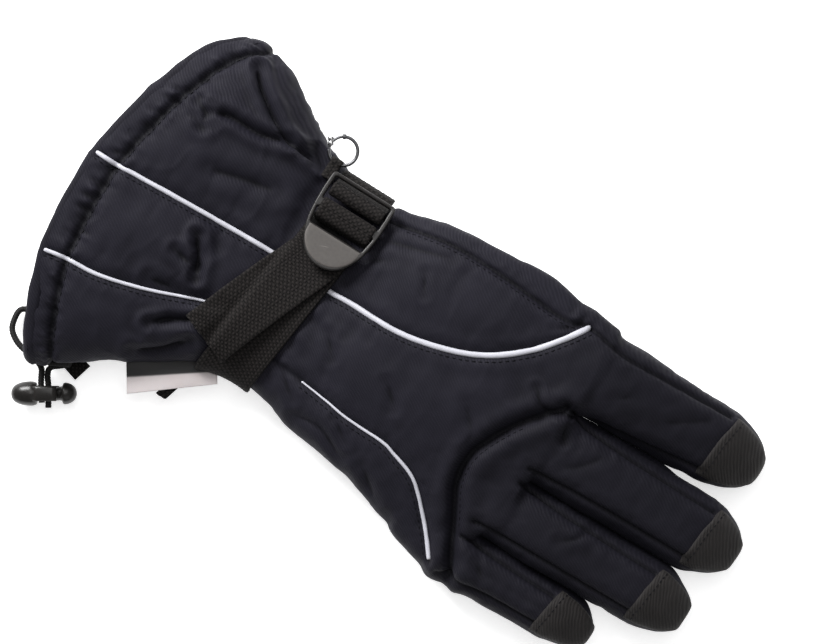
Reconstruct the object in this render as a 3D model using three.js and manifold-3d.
// Right-hand gauntlet ski glove, lying palm down, in millimetres, +Z up.
// Origin: on the resting plane, under the middle of the outline. +X runs to the fingertips and
// +Y to the thumb side, so -Y is the little-finger (ulnar) side.
// All dimensions are drawn from a point under the wrist strap and moved to the origin at the end.
import * as THREE from "three";
import { mergeVertices } from "three/addons/utils/BufferGeometryUtils.js";
import Module from "manifold-3d";

const wasm = await Module();
wasm.setup();

// ---- driving dimensions ----------------------------------------------------
// middle of the outline, from the point under the strap
const CENTRE_X = 56.85;
const CENTRE_Y = -13.29;

// Fabric layers: [outer face, inner face], as growth from the outer surface
const SHELL = 1.2;
const SHELL_LAYER = [0, -SHELL];
const WADDING_LAYER = [-1.7, -4.2];
const LINING_LAYER = [-5.2, -6];
const STALL_LINER_LAYER = [-1.6, -3.4];

// Bends
const GAP = 0.4; // clearance each side of a bending line
const WRIST_X = -38;
const WRIST_Z = 15.6;
const WRIST_UP = 25; // wrist range, degrees
const WRIST_DOWN = 30;
const WRIST_SPARE = 2; // spare opening past the wrist range, degrees
const FINGER_WEDGE = 37.5; // half angle of the V on the palm side of each finger bend, degrees
const THUMB_WEDGE = 24; // half angle of the V at the thumb joint, degrees
const KNUCKLE_X = 121.5;
const LITTLE_STEP = 8.6; // the knuckle line steps back this far at the little finger
const HAND_AXIS_DROP = 1.3; // knuckle bending line, below the hand's mid height
const FINGER_AXIS_DROP = 0.35; // finger bending line below mid height, share of half height

// Superellipse exponents of the rounded-box sections
const HAND_ROUNDING = 2.5;
const FINGER_ROUNDING = 2.7;

// Hand stations: x, ulnar edge y, radial edge y, mid height, half height, cross slope
const HAND = [
  [-38, -60.5, 68, 15.6, 15.6, 0],
  [-28, -54, 62, 15.4, 15.2, 0],
  [-14, -48.5, 55, 15.2, 13.9, 0.005],
  [0, -47.3, 50, 15.2, 13.6, 0.02],
  [14, -50.5, 49, 16.2, 13.7, 0.05],
  [26, -53.5, 53, 18.6, 13.4, 0.08],
  [40, -55.5, 56.3, 22, 13, 0.115],
  [61, -59.5, 58.4, 24, 12.8, 0.145],
  [84, -66.5, 60.3, 24.4, 12.8, 0.155],
  [106, -70, 57.5, 24.4, 12.8, 0.155],
  [122, -73, 55, 24.2, 12.6, 0.155],
];
const SLOPE_PIVOT_Y = -5; // the cross slope turns about this y
const HAND_ROWS = [-30, -13, 4, 22, 42, 66, 96, 122]; // x of the hand's mesh rows

// Gauntlet stations: share of the way to the hem, ulnar y, radial y, mid height, half height
const GAUNTLET = [
  [0, -60.5, 68, 15.6, 15.9],
  [0.35, -69, 76.5, 16.4, 16.8],
  [0.7, -79.5, 80, 17.2, 17.8],
  [1, -87, 77.5, 17.8, 18.4],
];
const HEM_SIDE_X = -78;
const HEM_SIDE_SKEW = 3; // the thumb-side corner is this far forward of HEM_SIDE_X
const HEM_TOP_X = -102.8;
const HEM_UNDER_X = -88;

// Fingers: name, y at base and tip, half width at base and tip, half height,
// x of knuckle, middle joint, tip and start of the tip patch, z of the tip
const FINGERS = [
  ["index", 35.6, 36.9, 17.6, 15.2, 12.6, KNUCKLE_X, 165, 207.5, 182, 13.4],
  ["middle", -0.2, 0.6, 16.4, 15.2, 12.6, KNUCKLE_X, 171, 218.3, 196, 13.3],
  ["ring", -33, -32.8, 14.4, 13.8, 12.2, KNUCKLE_X, 168, 214, 189, 12.9],
  ["little", -61.2, -61.2, 11.6, 11, 11.4, KNUCKLE_X - LITTLE_STEP, 148, 183.3, 158, 12.1],
].map(([name, baseY, tipY, baseHalfWidth, tipHalfWidth, halfHeight, knuckleX, jointX, tipX,
  patchX, tipZ]) => ({ name, baseY, tipY, baseHalfWidth, tipHalfWidth, halfHeight, knuckleX,
  jointX, tipX, patchX, tipZ }));
const FINGER_TAPER = 27; // length of the rounded end
const THUMB_TAPER = 24;

// Thumb, tucked under the palm: x, y, mid z, half width, half height
const THUMB = [
  [46, 45.2, 7.6, 12.4, 7.2],
  [60, 44, 9.1, 14.4, 8.6],
  [80, 41.5, 9.2, 14.6, 8.8],
  [100, 38.6, 8.4, 14.2, 8],
  [112, 36.8, 7.6, 13.6, 7.2],
];
const THUMB_BASE_X = THUMB[0][0];
const THUMB_JOINT_X = 80;
const [THUMB_TIP_X, THUMB_TIP_Y, THUMB_TIP_Z] = THUMB.at(-1);
const THUMB_FLOOR = 1.3; // underside of the thumb, over its grip patch
const THUMB_SLOPE = 0.14; // the thumb's width follows the tilt of the palm

// Rounded ends of the stalls, outer face then inner face. setbacks: rows behind the tip.
const FINGER_TIP_SHELL = [
  { setbacks: [25, 14, 6, 1.6], apex: 0 },
  { setbacks: [25, 14.3, 7, 3.2], apex: 1.7 },
];
const FINGER_TIP_LINER = [
  { setbacks: [25, 15, 8.4], apex: 4.6 },
  { setbacks: [25, 15.6, 10.4], apex: 7.4 },
];
const THUMB_TIP_SHELL = [
  { setbacks: [18, 11, 5, 1.5], apex: 0 },
  { setbacks: [18, 11.4, 6, 3], apex: 1.7 },
];
const THUMB_TIP_LINER = [
  { setbacks: [18, 12, 7.4], apex: 4.4 },
  { setbacks: [18, 12.6, 9.4], apex: 7 },
];

// ---- number helpers ----------------------------------------------------------
const rad = (degrees) => (degrees * Math.PI) / 180;
const tanD = (degrees) => Math.tan(rad(degrees));
const clamp = (value, low, high) => Math.min(high, Math.max(low, value));
const signedPower = (value, power) => Math.sign(value) * Math.pow(Math.abs(value), power);
// steps + 1 even values from start to end
const range = (start, end, steps) =>
  Array.from({ length: steps + 1 }, (_, i) => start + ((end - start) * i) / steps);
const fullTurn = (count, first = 0) =>
  Array.from({ length: count }, (_, i) => (2 * Math.PI * i) / count + first);
// Point of a unit rounded box: angle 0 is the thumb side, 90 degrees is up.
const roundedBox = (angle, rounding) => [
  signedPower(Math.cos(angle), 2 / rounding),
  signedPower(Math.sin(angle), 2 / rounding),
];

// Smooth (cardinal) interpolation of a table's columns, keyed by its first column.
function stationAt(table, x) {
  const last = table.length - 1;
  if (x <= table[0][0]) return table[0].slice(1);
  if (x >= table[last][0]) return table[last].slice(1);
  let i = 0;
  while (table[i + 1][0] < x) i++;
  const before = table[Math.max(0, i - 1)];
  const start = table[i];
  const end = table[i + 1];
  const after = table[Math.min(last, i + 2)];
  const span = end[0] - start[0];
  const t = (x - start[0]) / span;
  const t2 = t * t;
  const t3 = t2 * t;
  const slope = (from, to, column) => ((to[column] - from[column]) / (to[0] - from[0])) * span;
  return start.slice(1).map((value, k) => {
    const column = k + 1;
    const startSlope = slope(before, end, column);
    const endSlope = slope(start, after, column);
    return (2 * t3 - 3 * t2 + 1) * value + (t3 - 2 * t2 + t) * startSlope
      + (-2 * t3 + 3 * t2) * end[column] + (t3 - t2) * endSlope;
  });
}

// ---- surfaces of the glove -----------------------------------------------------
// In all of these, grow moves the surface outwards; negative values go inwards.
function sectionPoint([ulnarY, radialY, midZ, halfHeight, slope], angle, grow) {
  const [across, up] = roundedBox(angle, HAND_ROUNDING);
  const y = (ulnarY + radialY) / 2 + ((radialY - ulnarY) / 2 + grow) * across;
  const z = midZ + slope * (y - SLOPE_PIVOT_Y) + (halfHeight + grow) * up;
  return [y, Math.max(z, -grow)];
}
const handPoint = (x, angle, grow) => [x, ...sectionPoint(stationAt(HAND, x), angle, grow)];

// Clearance at the wrist bend, growing away from the bending line both ways
const wristCut = (z) => GAP
  + 0.5 * Math.max(0, z - WRIST_Z) * tanD(WRIST_UP + WRIST_SPARE)
  + 0.5 * Math.max(0, WRIST_Z - z) * tanD(WRIST_DOWN + WRIST_SPARE);

// x of the hem; across runs from -1 to 1 over the width, middleX is the hem's furthest reach
function hemX(across, middleX) {
  const side = HEM_SIDE_X + HEM_SIDE_SKEW * across;
  return side + (middleX - side) * (1 - Math.pow(Math.abs(across), 2.2));
}
// Point of the gauntlet at a share of the way to the hem; beyond moves the hem end back.
function gauntletPoint(share, angle, grow, beyond = 0) {
  const [y, z] = sectionPoint([...stationAt(GAUNTLET, share), 0], angle, grow);
  const [across] = roundedBox(angle, HAND_ROUNDING);
  const wristEnd = WRIST_X - wristCut(z);
  const hemEnd = hemX(across, Math.sin(angle) > 0 ? HEM_TOP_X : HEM_UNDER_X) - beyond;
  return [wristEnd + share * (hemEnd - wristEnd), y, z];
}
// Gauntlet station under a plan position; its share of the way to the hem is found by iteration.
function gauntletStationUnder(x, y) {
  const wristEnd = WRIST_X - 4;
  let share = 0.5;
  for (let i = 0; i < 12; i++) {
    const [ulnarY, radialY] = stationAt(GAUNTLET, share);
    const across = clamp((y - (ulnarY + radialY) / 2) / ((radialY - ulnarY) / 2), -1, 1);
    share = clamp((wristEnd - x) / (wristEnd - hemX(across, HEM_TOP_X)), 0, 1);
  }
  return [...stationAt(GAUNTLET, share), 0];
}
// Height of the top surface of hand and gauntlet at a plan position
function topZ(x, y, grow = 0) {
  const station = x >= WRIST_X ? stationAt(HAND, x) : gauntletStationUnder(x, y);
  const [ulnarY, radialY, midZ, halfHeight, slope] = station;
  const halfWidth = (radialY - ulnarY) / 2 + grow;
  const across = clamp((y - (ulnarY + radialY) / 2) / halfWidth, -0.999, 0.999);
  const rise = Math.pow(1 - Math.pow(Math.abs(across), HAND_ROUNDING), 1 / HAND_ROUNDING);
  return midZ + slope * (y - SLOPE_PIVOT_Y) + (halfHeight + grow) * rise;
}

// Mid height of the hand along the knuckle line
const [, , , KNUCKLE_MID_Z, , KNUCKLE_SLOPE] = HAND.at(-1);
const knuckleMidZ = (y) => KNUCKLE_MID_Z + KNUCKLE_SLOPE * (y - SLOPE_PIVOT_Y);
const knuckleLineX = (y) => KNUCKLE_X - LITTLE_STEP * clamp((-36 - y) / 8, 0, 1);
// Moves a point off a finger bend: direction 1 towards the tip, -1 towards the wrist.
// The gap widens below the bending line, which leaves the V on the palm side.
function openBend([x, y, z], bendZ, direction) {
  return [x + direction * (GAP + Math.max(0, bendZ - z) * tanD(FINGER_WEDGE)), y, z];
}
// Shares of full width and height left in the rounded end of a stall
function taper(x, tipX, length) {
  const t = clamp((x - (tipX - length)) / length, 0, 1);
  return {
    width: Math.pow(Math.max(1 - Math.pow(t, 2.6), 0), 1 / 2.2),
    height: Math.pow(Math.max(1 - Math.pow(t, 2.3), 0), 1 / 2),
  };
}
function fingerSection(finger, x) {
  const { baseY, tipY, baseHalfWidth, tipHalfWidth, knuckleX, tipX, tipZ } = finger;
  const t = clamp((x - knuckleX) / (tipX - 14 - knuckleX), 0, 1.2);
  const baseZ = knuckleMidZ(baseY);
  const left = taper(x, tipX, FINGER_TAPER);
  return {
    y: baseY + (tipY - baseY) * Math.min(t, 1),
    z: baseZ + (tipZ - baseZ) * Math.min(Math.pow(t, 1.2), 1.12),
    halfWidth: (baseHalfWidth + (tipHalfWidth - baseHalfWidth) * Math.min(t, 1)) * left.width,
    halfHeight: finger.halfHeight * left.height,
  };
}
const MIN_HALF = 0.2; // least half width or height of a stall section
function fingerPoint(finger, x, angle, grow) {
  const { y, z, halfWidth, halfHeight } = fingerSection(finger, x);
  const [across, up] = roundedBox(angle, FINGER_ROUNDING);
  return [
    x,
    y + Math.max(halfWidth + grow, MIN_HALF) * across,
    Math.max(z + Math.max(halfHeight + grow, MIN_HALF) * up, -grow),
  ];
}
const fingerBendZ = (finger, x) =>
  fingerSection(finger, x).z - FINGER_AXIS_DROP * finger.halfHeight;
function thumbPoint(x, angle, grow) {
  const [y, z, halfWidth, halfHeight] = stationAt(THUMB, x);
  const left = taper(x, THUMB_TIP_X, THUMB_TAPER);
  const [across, up] = roundedBox(angle, FINGER_ROUNDING);
  const dy = Math.max(halfWidth * left.width + grow, MIN_HALF) * across;
  const dz = Math.max(halfHeight * left.height + grow, MIN_HALF) * up;
  return [x, y + dy, Math.max(z + THUMB_SLOPE * dy + dz, THUMB_FLOOR - grow)];
}

// ---- solids ----------------------------------------------------------------------
// Welded geometry from triangles, turned to face outwards.
function toGeometry(vertices, triangles) {
  const faces = triangles.map((face) => face.map((i) => new THREE.Vector3(...vertices[i])));
  let volume = 0;
  for (const [a, b, c] of faces) volume += a.dot(b.clone().cross(c));
  const positions = faces
    .flatMap(([a, b, c]) => (volume < 0 ? [a, c, b] : [a, b, c]))
    .flatMap((corner) => corner.toArray());
  const geometry = new THREE.BufferGeometry()
    .setAttribute("position", new THREE.Float32BufferAttribute(positions, 3));
  return mergeVertices(geometry, 1e-4);
}
// Wall between two grids of points, both [along][around]. wrap joins each row into a ring;
// apexes, an outer and an inner point, close the far end of a wrapped wall.
function gridShell(outer, inner, wrap, apexes = null) {
  const last = outer.length - 1;
  const count = outer[0].length;
  const steps = wrap ? count : count - 1;
  const vertices = [...outer, ...inner].flat();
  const triangles = [];
  const id = (layer, i, j) => (layer * (last + 1) + i) * count + (j % count);
  const quad = (a, b, c, d) => triangles.push([a, b, c], [a, c, d]);
  for (let i = 0; i < last; i++)
    for (let j = 0; j < steps; j++) {
      quad(id(0, i, j), id(0, i, j + 1), id(0, i + 1, j + 1), id(0, i + 1, j));
      quad(id(1, i, j), id(1, i + 1, j), id(1, i + 1, j + 1), id(1, i, j + 1));
    }
  const [outerApex, innerApex] = [vertices.length, vertices.length + 1];
  if (apexes) vertices.push(...apexes);
  for (let j = 0; j < steps; j++) {
    quad(id(0, 0, j), id(1, 0, j), id(1, 0, j + 1), id(0, 0, j + 1));
    if (apexes) {
      triangles.push([id(0, last, j), id(0, last, j + 1), outerApex]);
      triangles.push([id(1, last, j), innerApex, id(1, last, j + 1)]);
    } else {
      quad(id(0, last, j), id(0, last, j + 1), id(1, last, j + 1), id(1, last, j));
    }
  }
  if (!wrap) {
    const edge = count - 1;
    for (let i = 0; i < last; i++) {
      quad(id(0, i, 0), id(0, i + 1, 0), id(1, i + 1, 0), id(1, i, 0));
      quad(id(0, i, edge), id(1, i, edge), id(1, i + 1, edge), id(0, i + 1, edge));
    }
  }
  return toGeometry(vertices, triangles);
}
// The same, from a function that gives the grid for a growth, and a layer's two growths
const sheet = (gridFor, [outer, inner]) => gridShell(gridFor(outer), gridFor(inner), false);
const sleeve = (gridFor, [outer, inner]) => gridShell(gridFor(outer), gridFor(inner), true);

// Sweep of a closed profile [[side, up], ...] along points. The profile's up follows
// normalAt(i), or is carried along the path when there is none.
function sweep(path, profile, normalAt = null) {
  const size = profile.length;
  const last = path.length - 1;
  const points = path.map((point) => new THREE.Vector3(...point));
  const vertices = [];
  const triangles = [];
  let carried = new THREE.Vector3(0.003, 0.002, 1);
  points.forEach((point, i) => {
    const tangent = new THREE.Vector3()
      .subVectors(points[Math.min(i + 1, last)], points[Math.max(i - 1, 0)])
      .normalize();
    const normal = normalAt ? new THREE.Vector3(...normalAt(i)) : carried.clone();
    normal.addScaledVector(tangent, -normal.dot(tangent)).normalize();
    carried = normal;
    const side = new THREE.Vector3().crossVectors(tangent, normal);
    for (const [u, v] of profile)
      vertices.push(point.clone().addScaledVector(side, u).addScaledVector(normal, v).toArray());
  });
  for (let i = 0; i < last; i++)
    for (let j = 0; j < size; j++) {
      const a = i * size + j;
      const b = i * size + ((j + 1) % size);
      triangles.push([a, b, b + size], [a, b + size, a + size]);
    }
  const end = last * size;
  for (let j = 1; j < size - 1; j++) {
    triangles.push([0, j + 1, j]);
    triangles.push([end, end + j, end + j + 1]);
  }
  return toGeometry(vertices, triangles);
}
const circle = (radius, count) =>
  fullTurn(count).map((angle) => [radius * Math.cos(angle), radius * Math.sin(angle)]);
const strip = (width, thickness) => [
  [-width / 2, -thickness / 2],
  [width / 2, -thickness / 2],
  [width / 2, thickness / 2],
  [-width / 2, thickness / 2],
];
const upright = () => [0, 0, 1];
function smoothPath(points, steps) {
  const corners = points.map((point) => new THREE.Vector3(...point));
  const curve = new THREE.CatmullRomCurve3(corners, false, "centripetal");
  return curve.getPoints(steps).map((point) => point.toArray());
}

// Manifold solid from a geometry, for cutting and joining, and back again
function solid(geometry, matrix = new THREE.Matrix4()) {
  const bare = geometry.index ? geometry.toNonIndexed() : geometry.clone();
  bare.applyMatrix4(matrix);
  bare.deleteAttribute("normal");
  bare.deleteAttribute("uv");
  const welded = mergeVertices(bare, 1e-4);
  return new wasm.Manifold(new wasm.Mesh({
    numProp: 3,
    vertProperties: welded.attributes.position.array,
    triVerts: new Uint32Array(welded.index.array),
  }));
}
function fromSolid(shape) {
  const { vertProperties, triVerts } = shape.getMesh();
  return new THREE.BufferGeometry()
    .setAttribute("position", new THREE.BufferAttribute(new Float32Array(vertProperties), 3))
    .setIndex(new THREE.BufferAttribute(new Uint32Array(triVerts), 1));
}
const shift = (x, y, z) => new THREE.Matrix4().makeTranslation(x, y, z);
const product = (first, second) => new THREE.Matrix4().multiplyMatrices(first, second);
function box([x0, x1], [y0, y1], [z0, z1]) {
  const centre = shift((x0 + x1) / 2, (y0 + y1) / 2, (z0 + z1) / 2);
  return solid(new THREE.BoxGeometry(x1 - x0, y1 - y0, z1 - z0), centre);
}
function ball(x, y, z, radius) {
  return solid(new THREE.SphereGeometry(radius, 10, 8), shift(x, y, z));
}
function rodX(radius, x0, x1, y, z, sides) {
  const place = new THREE.Matrix4().makeRotationZ(Math.PI / 2).setPosition((x0 + x1) / 2, y, z);
  return solid(new THREE.CylinderGeometry(radius, radius, x1 - x0, sides), place);
}
// Round bar along X, extruded from a disc, centred on x
function drumX(radius, length, x, y, z) {
  const disc = new THREE.Shape();
  disc.absarc(0, 0, radius, 0, Math.PI * 2, false);
  const options = { depth: length, bevelEnabled: false, curveSegments: 8 };
  const place = product(
    shift(x - length / 2, y, z),
    new THREE.Matrix4().makeRotationY(Math.PI / 2),
  );
  return solid(new THREE.ExtrudeGeometry(disc, options), place);
}

// ---- materials ---------------------------------------------------------------------
const material = (settings) => new THREE.MeshStandardMaterial(settings);
const MATERIALS = {
  shell: material({ color: 0x1b1c22, roughness: 0.8 }),
  grip: material({ color: 0x2a2724, roughness: 0.65 }),
  wadding: material({ color: 0xd9d9d4, roughness: 0.95 }),
  lining: material({ color: 0x2c2d33, roughness: 0.95 }),
  webbing: material({ color: 0x1a1815, roughness: 0.85 }),
  plastic: material({ color: 0x24221f, roughness: 0.45 }),
  reflective: material({ color: 0xd2d1d9, roughness: 0.4 }),
  cord: material({ color: 0x1c1c1c, roughness: 0.8 }),
  darkMetal: material({ color: 0x3a3b3e, roughness: 0.25, metalness: 0.9 }),
  steel: material({ color: 0xb8b9bc, roughness: 0.2, metalness: 0.95 }),
  label: material({ color: 0xd8cfd0, roughness: 0.8 }),
};
const root = new THREE.Group();
function add(name, geometry, surface) {
  const mesh = new THREE.Mesh(geometry, surface);
  mesh.name = name;
  root.add(mesh);
}

// ---- hand ----------------------------------------------------------------------------
// Section angles: all round, the top half and the underside
const AROUND = fullTurn(24);
const TOP = [3, ...range(15, 165, 10), 177].map(rad);
const UNDER = TOP.map((angle) => angle + Math.PI);

// The wrist end leaves room for the wrist bend, the finger end for the knuckles.
function handGrid(angles, grow) {
  const last = HAND_ROWS.length - 1;
  return HAND_ROWS.map((x, i) => angles.map((angle) => {
    const [, y, z] = handPoint(x, angle, grow);
    const knuckle = knuckleLineX(y);
    if (i === 0) return [WRIST_X + wristCut(z), y, z];
    if (i === last) return openBend([knuckle, y, z], knuckleMidZ(y) - HAND_AXIS_DROP, -1);
    return [i === last - 1 ? x - 0.6 * (KNUCKLE_X - knuckle) : x, y, z];
  }));
}
function buildHand() {
  const gridOver = (angles) => (grow) => handGrid(angles, grow);
  add("back_panel", sheet(gridOver(TOP), SHELL_LAYER), MATERIALS.shell);
  add("palm_panel", sheet(gridOver(UNDER), SHELL_LAYER), MATERIALS.grip);
  add("hand_insulation", sleeve(gridOver(AROUND), WADDING_LAYER), MATERIALS.wadding);
  add("hand_lining", sleeve(gridOver(AROUND), LINING_LAYER), MATERIALS.lining);
}
// Elastic tape across the palm side of the wrist, just below the fabric
function buildWristElastic() {
  const grid = (drop) => [-12.6, -5, 2.4].map((x) => UNDER.slice(2, -2).map((angle) => {
    const [, y, z] = handPoint(x, angle, 0);
    return [x, y, z - drop];
  }));
  add("wrist_elastic", sheet(grid, [0.3, 1.1]), MATERIALS.webbing);
}

// ---- gauntlet --------------------------------------------------------------------------
const CORD_RADIUS = 1.3;
const EXIT_A = 212; // angles where the two cord ends leave the hem channel, degrees
const EXIT_B = 190;
const channelPoint = (degrees) =>
  gauntletPoint(0.9, rad(degrees), -SHELL - 0.65 - CORD_RADIUS);
const exitA = channelPoint(EXIT_A);
const exitB = channelPoint(EXIT_B);

function buildGauntlet() {
  const fullRows = [0, 0.34, 0.68, 1];
  const gridOver = (angles, rows = fullRows) => (grow) =>
    rows.map((share) => angles.map((angle) => gauntletPoint(share, angle, grow)));
  add("gauntlet_back", sheet(gridOver(TOP), SHELL_LAYER), MATERIALS.shell);
  // the underside has two holes where the cord comes out
  const underside = solid(sheet(gridOver(UNDER), SHELL_LAYER))
    .subtract(ball(exitA[0] - 0.4, exitA[1] - 2, exitA[2] - 1.6, 3.8))
    .subtract(ball(exitB[0], exitB[1] - 2, exitB[2], 3));
  add("gauntlet_underside", fromSolid(underside), MATERIALS.shell);
  // the wadding stops short of the hem channel
  const wadding = gridOver(AROUND, [0, 0.34, 0.68, 0.82]);
  add("gauntlet_insulation", sleeve(wadding, WADDING_LAYER), MATERIALS.wadding);
  add("gauntlet_lining", sleeve(gridOver(AROUND), LINING_LAYER), MATERIALS.lining);
  // band past the hem, from the outer surface to the inside of the lining
  const binding = (grow) =>
    [0.4, 1.8].map((beyond) => AROUND.map((angle) => gauntletPoint(1, angle, grow, beyond)));
  add("hem_binding", sleeve(binding, [0, LINING_LAYER[1]]), MATERIALS.shell);
}

// ---- drawcord and cord lock --------------------------------------------------------------
const LOCK_X = -70.2; // middle of the cord lock
const LOCK_Y = -96.9;
const LOCK_Z = 7.2;
const LOCK_TURN = rad(32); // heading of the lock's long axis, from +X
const CORD_U = 1.55; // half spacing of the two cord runs in the lock
// Lock frame: u along the lock to its button, w along the cords towards the hem
const lockAt = (u, w, z = 0) => [
  LOCK_X + Math.cos(LOCK_TURN) * u - Math.sin(LOCK_TURN) * w,
  LOCK_Y + Math.sin(LOCK_TURN) * u + Math.cos(LOCK_TURN) * w,
  LOCK_Z + z,
];

function buildDrawcord() {
  const fromLock = smoothPath([
    lockAt(-CORD_U, -6.2),
    lockAt(-CORD_U, 6),
    lockAt(-CORD_U, 11.5),
    lockAt(-5, 15.5),
    lockAt(-12, 22, -1.5),
    lockAt(-14.5, 30, -3),
    lockAt(-9.5, 36.5, -4.6),
    [exitA[0] - 2, exitA[1] - 4.6, exitA[2] - 3.4],
    exitA,
  ], 22);
  const roundHem = range(EXIT_A, EXIT_B + 360, 26).map(channelPoint).slice(1, -1);
  const toLock = smoothPath([
    exitB,
    [exitB[0] + 0.6, exitB[1] - 3.6, exitB[2] - 0.6],
    lockAt(10.5, 12.5, -1.2),
    lockAt(CORD_U, 10.5),
    lockAt(CORD_U, 6),
    lockAt(CORD_U, -6.2),
  ], 14);
  const path = [...fromLock, ...roundHem, ...toLock];
  add("drawcord", sweep(path, circle(CORD_RADIUS, 6)), MATERIALS.cord);
}
function buildCordLock() {
  const place = new THREE.Matrix4().makeRotationZ(LOCK_TURN).setPosition(LOCK_X, LOCK_Y, LOCK_Z);
  const alongU = product(place, new THREE.Matrix4().makeRotationZ(-Math.PI / 2));
  // profile: [radius, u]
  const lathe = (profile, segments) => {
    const points = profile.map(([radius, u]) => new THREE.Vector2(radius, u));
    return solid(new THREE.LatheGeometry(points, segments), alongU);
  };
  const plug = (radius, start, end, segments) =>
    lathe([[0, start], [radius, start], [radius, end], [0, end]], segments);
  const cordSlot = (start, end) =>
    solid(new THREE.BoxGeometry(end - start, 16, 3.5), product(place, shift((start + end) / 2, 0, 0)));

  // barrel: a cup, open towards the button, with a cross slot for the two cords
  const cup = lathe([
    [0, -14.2], [1.6, -14], [3.6, -12.4], [4.9, -9.5], [5.3, -6], [5.1, -1], [4.6, 3.6], [0, 3.6],
  ], 14);
  const barrel = cup.subtract(plug(3.35, -9.6, 8, 14)).subtract(cordSlot(-3.2, 3.2));
  add("cord_lock_barrel", fromSolid(barrel), MATERIALS.plastic);

  // button: a plunger with a spring pocket and cord slot, and a rounded head outside the cup
  const stem = plug(3, -6.4, 7.4, 14).subtract(plug(2.25, -7, -4.1, 12));
  const head = lathe([
    [0, 7], [4.3, 7], [4.7, 8.6], [4.2, 11], [2.8, 12.9], [1.2, 13.6], [0, 13.7],
  ], 16);
  const button = stem.add(head).subtract(cordSlot(-3.2, 5.8));
  add("cord_lock_button", fromSolid(button), MATERIALS.plastic);

  const spring = { start: -9.2, length: 2.3, radius: 1.75, turns: 2.5, wire: 0.25 };
  const coil = range(0, 1, 22).map((t) => {
    const angle = t * spring.turns * 2 * Math.PI;
    return new THREE.Vector3(
      spring.start + spring.length * t,
      spring.radius * Math.cos(angle),
      spring.radius * Math.sin(angle),
    ).applyMatrix4(place).toArray();
  });
  add("cord_lock_spring", sweep(coil, circle(spring.wire, 4)), MATERIALS.steel);
}
// Short webbing tab under the hem corner on the little-finger side
function buildCordAnchor() {
  const path = [[-66.5, -75.2, 3.2], [-68, -80.5, 3.0], [-69.4, -85, 2.8]];
  add("cord_anchor_tab", sweep(path, strip(13, 1.2), upright), MATERIALS.webbing);
}

// ---- reflective piping ---------------------------------------------------------------------
const WIDE_PIPING = 3.2;
const NARROW_PIPING = 2.6;
// name, width, steps along the path, then its plan points [x, y]
const PIPING = [
  ["gauntlet_centre", WIDE_PIPING, 8,
    [[-100.6, 3.3], [-92.2, 3.3], [-57.7, 5.1], [-46, 5.7]]],
  ["gauntlet_outer", NARROW_PIPING, 8,
    [[-97.6, -42.6], [-89.7, -41.2], [-74.1, -39.9], [-53, -34.1], [-46.5, -32]]],
  ["wrist_centre", WIDE_PIPING, 4,
    [[-32.5, 6.1], [-26, 6.3], [-19.8, 6.4]]],
  ["hand_centre", WIDE_PIPING, 14,
    [[16, 5.6], [21.1, 5.8], [45.6, 6.2], [67.2, 11.3], [82.6, 18.4], [95.7, 29.1],
      [104.2, 39.4], [109.5, 47]]],
  ["hand_outer", NARROW_PIPING, 14,
    [[40, -35], [46.5, -36], [63.4, -36.5], [69.8, -38.1], [82.5, -42.7], [91.5, -51],
      [96.5, -57]]],
];
function buildPiping() {
  for (const [name, width, steps, points] of PIPING) {
    const half = width / 2;
    const path = smoothPath(points.map(([x, y]) => [x, y, 0]), steps)
      .map(([x, y]) => [x, y, topZ(x, y) + 1.05]);
    const profile = [[-half, -0.5], [half, -0.5], [half, 0.2], [0, 0.7], [-half, 0.2]];
    add(`piping_${name}`, sweep(path, profile, upright), MATERIALS.reflective);
  }
}

// ---- wrist strap and buckle ------------------------------------------------------------------
const WEB_WIDTH = 25;
const WEB_THICKNESS = 1.6;
const STRAP_LIFT = 0.9; // strap clearance over the fabric
const TAIL_LIFT = STRAP_LIFT + WEB_THICKNESS + 0.75;
const WEB_ROW = range(-WEB_WIDTH / 2, WEB_WIDTH / 2, 4);
const BUCKLE_X = 1.7; // buckle centre line
const BAR_Y = 42.9; // axis of the buckle's anchor bar
const BAR_Z = 33.4;
const BUCKLE_TILT = 9; // the buckle leans down to the thumb side, degrees
const BUCKLE_PLACE = new THREE.Matrix4()
  .makeRotationX(-rad(BUCKLE_TILT))
  .setPosition(BUCKLE_X, BAR_Y, BAR_Z);

function buildStrap() {
  // the strap runs a little towards the gauntlet on its way to the little-finger side
  const centreX = (y) => BUCKLE_X - 3.6 + (y - 6) * 0.126;
  const angles = [64, 76, 90, 105, 120, 134, 147, 158, 168, 177, 185].map(rad);
  const grid = (grow) => angles.map((angle) => {
    const x = centreX(handPoint(0, angle, 0)[1]);
    return WEB_ROW.map((u) => handPoint(x + u, angle, grow));
  });
  add("wrist_strap", sheet(grid, [STRAP_LIFT + WEB_THICKNESS, STRAP_LIFT]), MATERIALS.webbing);
}
// Free end, lying on the strap and slanting back towards the gauntlet
function buildStrapTail() {
  // x, y, share of the full slant
  const rows = [
    [0.6, 21, 0], [-1, 15, 0.5], [-3.8, 8, 0.8], [-8.2, -2, 1],
    [-12.4, -12.5, 1], [-16.6, -23, 1], [-20.4, -33, 1], [-22.8, -39, 1],
  ];
  const grid = (grow) => rows.map(([rowX, rowY, slant]) => WEB_ROW.map((u) => {
    const x = rowX + u * (1 - 0.07 * slant);
    const y = Math.max(rowY - u * 0.37 * slant, -46.5);
    return [x, y, topZ(x, y, grow)];
  }));
  add("strap_tail", sheet(grid, [TAIL_LIFT + WEB_THICKNESS, TAIL_LIFT]), MATERIALS.webbing);
}
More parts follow.
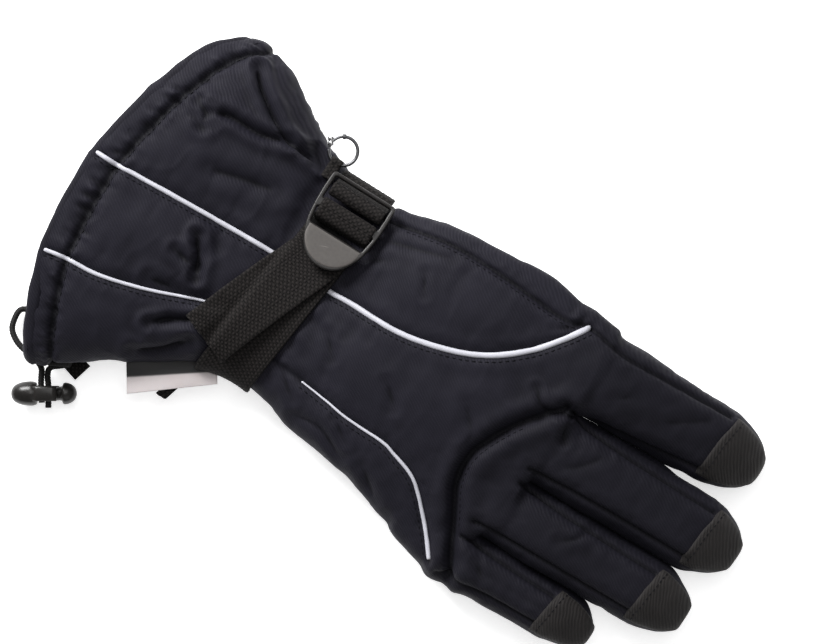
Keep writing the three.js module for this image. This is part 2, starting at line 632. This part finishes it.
// Ladder lock in its own plane: anchor bar at y = 0, tip of the lever tab at y = -31.4
function buildBuckle() {
  const outline = new THREE.Shape();
  outline.moveTo(-13.6, 6.6);
  outline.lineTo(13.6, 6.6);
  outline.quadraticCurveTo(15.4, 6.4, 15.4, 4);
  outline.quadraticCurveTo(15.9, -7, 14.4, -16);
  outline.quadraticCurveTo(11.4, -31.4, 0, -31.4);
  outline.quadraticCurveTo(-11.4, -31.4, -14.4, -16);
  outline.quadraticCurveTo(-15.9, -7, -15.4, 4);
  outline.quadraticCurveTo(-15.4, 6.4, -13.6, 6.6);
  const depth = 3.2;
  const options = { depth, bevelEnabled: false, curveSegments: 6 };
  const plate = solid(new THREE.ExtrudeGeometry(outline, options), shift(0, 0, -depth / 2));
  const window = box([-12.9, 12.9], [-17.1, 4.4], [-4, 4]);
  const aboveLever = box([-20, 20], [-40, -17.3], [0.9, 5]); // the lever tab is thinner
  const anchorBar = rodX(1.3, -13.4, 13.4, 0, 0, 10);
  const gripBar = box([-13.4, 13.4], [-9.4, -6.8], [-1.2, 1.2]);
  const buckle = plate.subtract(window).subtract(aboveLever).add(anchorBar).add(gripBar);
  const placed = buckle.transform([...BUCKLE_PLACE.elements]);
  add("ladder_buckle", fromSolid(placed), MATERIALS.plastic);
}
// Webbing round the anchor bar and down to the thumb-side seam
function buildAnchorLoop() {
  const width = 23;
  const boreRadius = 1.75;
  const row = range(-width / 2, width / 2, 4);
  const legGrid = (grow, side) => [
    ...[5, 14, 25].map((degrees) => row.map((u) => handPoint(BUCKLE_X + u, rad(degrees), grow))),
    ...[[BAR_Y + 1.7, BAR_Z - 6], [BAR_Y - 1, BAR_Z - 2.4]].map(([y, z]) =>
      row.map((u) => [BUCKLE_X + u, y + side * 0.55, z + side * 0.35])),
  ];
  const leg = solid(gridShell(legGrid(3, 1), legGrid(1.75, -1), false));
  const loop = drumX(boreRadius + 1.3, width, BUCKLE_X, BAR_Y, BAR_Z)
    .add(leg)
    .subtract(rodX(boreRadius, BUCKLE_X - 14, BUCKLE_X + 14, BAR_Y, BAR_Z, 18));
  add("buckle_anchor_loop", fromSolid(loop), MATERIALS.webbing);
}
// The strap's turn over the gripping bar, which tips with the buckle
function buildStrapBight() {
  // y and z in the buckle's plane, then y and z of the strap's normal
  const stations = [
    [-12.4, -1.6, -1, 0.4],
    [-11.4, 1, -1, 0.6],
    [-10.1, 2.3, -0.4, 1],
    [-8.1, 2.5, 0, 1],
    [-6.3, 2.2, 0.5, 1],
    [-5.2, 0.8, 1, 0.3],
    [-5, -1.4, 1, 0],
  ];
  const path = stations.map(([y, z]) => [0, y, z]);
  const normalAt = (i) => [0, ...stations[i].slice(2)];
  const bight = sweep(path, strip(23.4, 1.2), normalAt).applyMatrix4(BUCKLE_PLACE);
  add("strap_bight", bight, MATERIALS.webbing);
}

// ---- snap ring -----------------------------------------------------------------------------------
const RING_X = -15.3;
const RING_Y = 58.6;
const RING_Z = 25.4;
const RING_RADIUS = 6.1;
const RING_WIRE = 0.75; // wire radius
const ringArc = (start, end, steps) => range(start, end, steps).map((degrees) => [
  RING_X + RING_RADIUS * Math.cos(rad(degrees)),
  RING_Y + RING_RADIUS * Math.sin(rad(degrees)),
  RING_Z,
]);

// Webbing tab at the thumb side of the wrist, folded round the ring's wire
function buildClipTab() {
  const width = 5;
  const wireY = RING_Y - RING_RADIUS;
  const eye = drumX(RING_WIRE + 1.35, width, RING_X, wireY, RING_Z);
  const path = [
    [RING_X, wireY - 1.2, RING_Z + 0.6],
    [RING_X, wireY - 3.6, RING_Z + 1.4],
    [RING_X, wireY - 8, RING_Z + 2.4],
  ];
  const normalAt = (i) => (i === 0 ? [0, -1, 1] : [0, -0.4, 1]);
  const tab = solid(sweep(path, strip(width, 1), normalAt));
  const wireGap = solid(sweep(ringArc(215, 325, 10), circle(RING_WIRE + 0.45, 10), upright));
  add("clip_tab", fromSolid(eye.add(tab).subtract(wireGap)), MATERIALS.webbing);
}
function buildSnapRing() {
  const ring = sweep(ringArc(205, 480, 20), circle(RING_WIRE, 6), upright);
  add("snap_ring", ring, MATERIALS.darkMetal);
  const gate = solid(sweep(ringArc(127, 192, 5), circle(RING_WIRE * 0.85, 6), upright));
  const knob = solid(
    new THREE.CylinderGeometry(1.25, 1.25, 3.2, 10),
    shift(RING_X - RING_RADIUS - 0.7, RING_Y + 0.8, RING_Z),
  );
  add("snap_gate", fromSolid(gate.add(knob)), MATERIALS.steel);
}

// ---- label and the small tab beside it, on the little-finger side ------------------------------------
function buildLabel() {
  const outline = [
    [-46, -67.2], [-39.6, -77.7], [-9.3, -53.3], [-10.6, -52.3], [-17, -53.6],
    [-21.8, -54.6], [-25, -54.6], [-29.2, -54.4], [-34, -59.4], [-38.5, -62.4],
  ];
  const shape = new THREE.Shape(outline.map(([x, y]) => new THREE.Vector2(x, y)));
  const label = new THREE.ExtrudeGeometry(shape, { depth: 0.7, bevelEnabled: false });
  add("side_label", label.translate(0, 0, 15), MATERIALS.label);
  const path = [[-22.4, -55.2, 11.4], [-24.4, -62, 11], [-26.9, -70.4, 10.6]];
  add("loop_tab", sweep(path, strip(5, 1.6), upright), MATERIALS.webbing);
}

// ---- fingers and thumb ---------------------------------------------------------------------------------
const STALL_ANGLES = fullTurn(14, Math.PI / 14); // first half on top, second half underneath

function addBase(name, gridFor) {
  add(`${name}_base_shell`, sleeve(gridFor, SHELL_LAYER), MATERIALS.shell);
  add(`${name}_base_liner`, sleeve(gridFor, STALL_LINER_LAYER), MATERIALS.lining);
}
// Closed end of a stall, from its joint to the tip; gridFor takes row positions and a growth.
function stallTip(gridFor, jointX, [tipX, y, z], faces, layer) {
  const [outer, inner] = faces.map(({ setbacks }, i) =>
    gridFor([jointX, ...setbacks.map((setback) => tipX - setback)], layer[i]));
  const apexes = faces.map(({ apex }) => [tipX - apex, y, z]);
  return gridShell(outer, inner, true, apexes);
}

// startBendZ and endBendZ are the heights of the bending lines at the first and last rows.
function fingerGrid(finger, rows, grow, startBendZ, endBendZ = null) {
  return rows.map((x, i) => STALL_ANGLES.map((angle) => {
    const point = fingerPoint(finger, x, angle, grow);
    if (i === 0) return openBend(point, startBendZ, 1);
    if (endBendZ !== null && i === rows.length - 1) return openBend(point, endBendZ, -1);
    return point;
  }));
}
function buildFinger(finger) {
  const { name, knuckleX, jointX, tipX, patchX } = finger;
  const knuckleZ = fingerBendZ(finger, knuckleX);
  const jointZ = fingerBendZ(finger, jointX);
  const baseRows = [knuckleX, (knuckleX + jointX) / 2, jointX];
  addBase(name, (grow) => fingerGrid(finger, baseRows, grow, knuckleZ, jointZ));

  const tipGrid = (rows, grow) => fingerGrid(finger, rows, grow, jointZ);
  const { y: tipY, z: tipZ } = fingerSection(finger, tipX - 1);
  const tip = [tipX, tipY, tipZ];
  const shell = stallTip(tipGrid, jointX, tip, FINGER_TIP_SHELL, SHELL_LAYER);
  add(`${name}_tip_shell`, shell, MATERIALS.shell);
  const liner = stallTip(tipGrid, jointX, tip, FINGER_TIP_LINER, STALL_LINER_LAYER);
  add(`${name}_tip_liner`, liner, MATERIALS.lining);

  // patch over the top of the tip; only its last row is also pushed forward
  const patchRows = [patchX, tipX - 14, tipX - 6, tipX - 1.6];
  const patchGrid = (lift) => patchRows.map((rowX, i) =>
    STALL_ANGLES.slice(0, 7).map((angle) => {
      const [x, y, z] = fingerPoint(finger, rowX, angle, 0);
      return [
        x + (i === patchRows.length - 1 ? lift : 0),
        y + lift * Math.cos(angle),
        z + lift * (0.25 + 0.75 * Math.sin(angle)),
      ];
    }));
  add(`${name}_tip_patch`, sheet(patchGrid, [1.15, 0.4]), MATERIALS.grip);
}

// The thumb bends sideways: the V at its joint opens towards -Y.
// The row at cutRow is moved off the joint, 1 towards the tip or -1 towards the base.
function thumbGrid(rows, grow, cutRow, direction) {
  const bendY = stationAt(THUMB, THUMB_JOINT_X)[0] + 6;
  return rows.map((rowX, i) => STALL_ANGLES.map((angle) => {
    const [x, y, z] = thumbPoint(rowX, angle, grow);
    const cut = GAP + Math.max(0, bendY - y) * tanD(THUMB_WEDGE);
    return [i === cutRow ? x + direction * cut : x, y, z];
  }));
}
function buildThumb() {
  const baseRows = [THUMB_BASE_X, 62, THUMB_JOINT_X];
  addBase("thumb", (grow) => thumbGrid(baseRows, grow, baseRows.length - 1, -1));

  const tipGrid = (rows, grow) => thumbGrid(rows, grow, 0, 1);
  const tip = [THUMB_TIP_X, THUMB_TIP_Y, THUMB_TIP_Z];
  const shell = stallTip(tipGrid, THUMB_JOINT_X, tip, THUMB_TIP_SHELL, SHELL_LAYER);
  add("thumb_tip_shell", shell, MATERIALS.shell);

  // patch under the tip
  const patchGrid = (drop) => [24, 14, 6, 2.6].map((setback) =>
    STALL_ANGLES.slice(7).map((angle) => {
      const [x, y, z] = thumbPoint(THUMB_TIP_X - setback, angle, 0);
      return [x, y + drop * 0.8 * Math.cos(angle), z - drop];
    }));
  add("thumb_tip_patch", sheet(patchGrid, [1.25, 0.65]), MATERIALS.grip);

  const liner = stallTip(tipGrid, THUMB_JOINT_X, tip, THUMB_TIP_LINER, STALL_LINER_LAYER);
  add("thumb_tip_liner", liner, MATERIALS.lining);
}

// ---- assembly -----------------------------------------------------------------------------------------
buildHand();
buildWristElastic();
buildGauntlet();
buildDrawcord();
buildCordLock();
buildCordAnchor();
buildPiping();
buildStrap();
buildStrapTail();
buildBuckle();
buildAnchorLoop();
buildStrapBight();
buildClipTab();
buildSnapRing();
buildLabel();
FINGERS.forEach(buildFinger);
buildThumb();

// the origin sits under the middle of the glove's overall length and width
for (const mesh of root.children) mesh.geometry.translate(-CENTRE_X, -CENTRE_Y, 0);

export default root;
